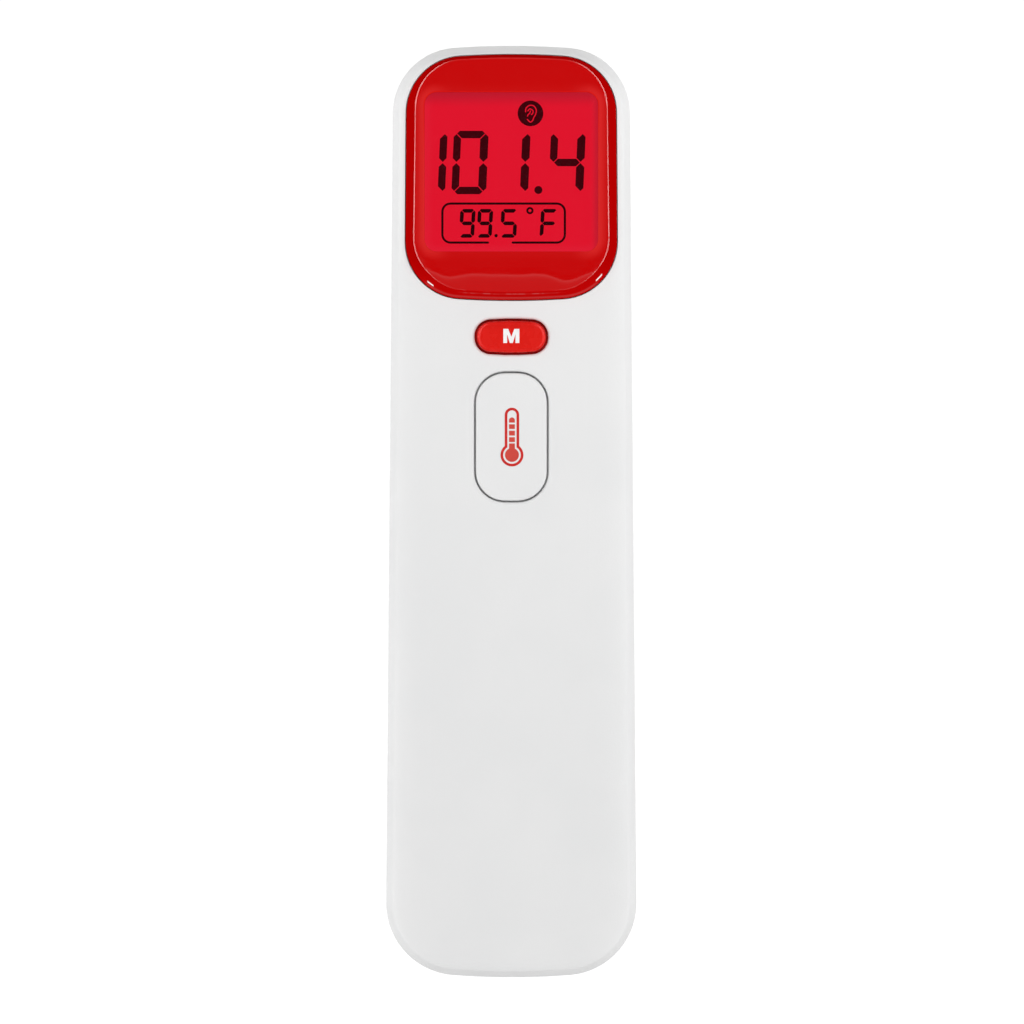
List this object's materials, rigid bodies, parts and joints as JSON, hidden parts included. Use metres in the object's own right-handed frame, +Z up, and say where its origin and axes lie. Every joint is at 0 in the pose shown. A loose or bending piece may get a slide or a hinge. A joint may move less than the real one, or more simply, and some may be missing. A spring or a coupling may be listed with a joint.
{
  "type": "infrared ear thermometer",
  "caption": "Bar-shaped infrared ear and forehead thermometer with a glossy display lens, two push buttons, a tapering probe under a pull-off cap and a sliding battery door.",
  "frame": {"origin": "under the centre of the whole thermometer's bounding box, at the level of the body's lowest point", "axes": "+Z up along the body towards the head, -Y out of the display, +Y along the probe, +X to the right of someone who reads the display"},
  "size_m": [0.0402, 0.0456, 0.15],
  "materials": {
    "front_shell": "fine satin texture",
    "rear_shell": "fine satin texture",
    "battery_door": "fine satin texture",
    "display_lens": "polished red tint",
    "lens_gasket": "matte",
    "window_mask": "printed film",
    "mode_button": "satin",
    "scan_button": "fine satin texture",
    "lcd_front_glass": "polished",
    "lcd_rear_glass": "polished",
    "lcd_polarizers": "film",
    "light_guide": "frosted, lit red",
    "reflector_sheet": "white film",
    "display_holder": "moulded",
    "zebra_strip": "striped",
    "backlight_leds": "moulded",
    "main_board": "solder mask over glass cloth",
    "processor_chip": "moulded",
    "memory_chip": "moulded",
    "crystal_can": "plated",
    "chip_capacitors": "plain",
    "cable_connector": "moulded",
    "buzzer": "moulded",
    "mode_switch": "plated cover",
    "mode_plunger": "moulded",
    "scan_switch": "plated cover",
    "scan_plunger": "moulded",
    "board_screws": "zinc plated",
    "case_screws": "zinc plated",
    "bay_screws": "zinc plated",
    "cell_left": "plain wrap",
    "cell_right": "plain wrap",
    "battery_bridge": "nickel plated",
    "positive_contact": "nickel plated",
    "negative_contact": "nickel plated",
    "lower_spring": "nickel plated",
    "upper_spring": "nickel plated",
    "positive_wire": "insulation",
    "negative_wire": "insulation",
    "probe_nose": "satin",
    "probe_window": "infrared window",
    "waveguide": "gold plated",
    "sensor_block": "machined",
    "thermopile": "plated can",
    "sensor_board": "solder mask over glass cloth",
    "hall_switch": "moulded",
    "sensor_cable": "flat flexible cable",
    "probe_retainer": "moulded",
    "probe_screws": "zinc plated",
    "probe_seal": "matte",
    "probe_cap": "fine satin texture",
    "cap_magnets": "nickel plated"
  },
  "bodies": {
    "case": {"front_shell": "front_shell", "rear_shell": "rear_shell", "display_lens": "display_lens", "lens_gasket": "lens_gasket", "window_mask": "window_mask", "lcd_front_glass": "lcd_front_glass", "lcd_rear_glass": "lcd_rear_glass", "lcd_polarizers": "lcd_polarizers", "light_guide": "light_guide", "reflector_sheet": "reflector_sheet", "display_holder": "display_holder", "zebra_strip": "zebra_strip", "backlight_leds": "backlight_leds", "main_board": "main_board", "processor_chip": "processor_chip", "memory_chip": "memory_chip", "crystal_can": "crystal_can", "chip_capacitors": "chip_capacitors", "cable_connector": "cable_connector", "buzzer": "buzzer", "mode_switch": "mode_switch", "scan_switch": "scan_switch", "board_screws": "board_screws", "case_screws": "case_screws", "bay_screws": "bay_screws", "cell_left": "cell_left", "cell_right": "cell_right", "battery_bridge": "battery_bridge", "positive_contact": "positive_contact", "negative_contact": "negative_contact", "lower_spring": "lower_spring", "upper_spring": "upper_spring", "positive_wire": "positive_wire", "negative_wire": "negative_wire", "probe_nose": "probe_nose", "probe_window": "probe_window", "waveguide": "waveguide", "sensor_block": "sensor_block", "thermopile": "thermopile", "sensor_board": "sensor_board", "hall_switch": "hall_switch", "sensor_cable": "sensor_cable", "probe_retainer": "probe_retainer", "probe_screws": "probe_screws", "probe_seal": "probe_seal"},
    "scan_key": {"scan_button": "scan_button", "scan_plunger": "scan_plunger"},
    "mode_key": {"mode_button": "mode_button", "mode_plunger": "mode_plunger"},
    "cap": {"probe_cap": "probe_cap", "cap_magnets": "cap_magnets"},
    "door": {"battery_door": "battery_door"}
  },
  "joints": [
    {"name": "scan_button_press", "type": "slide", "parent": "case", "child": "scan_key", "axis": [0, 1, 0], "range_m": [0, 0.0004], "stiffness_N_per_m": 60},
    {"name": "mode_button_press", "type": "slide", "parent": "case", "child": "mode_key", "axis": [0, 1, 0], "range_m": [0, 0.0004], "stiffness_N_per_m": 60},
    {"name": "probe_cap_pull", "type": "slide", "parent": "case", "child": "cap", "axis": [0, 1, 0], "range_m": [0, 0.028]},
    {"name": "battery_door_slide", "type": "slide", "parent": "case", "child": "door", "axis": [0, 0, -1], "range_m": [0, 0.066]}
  ]
}
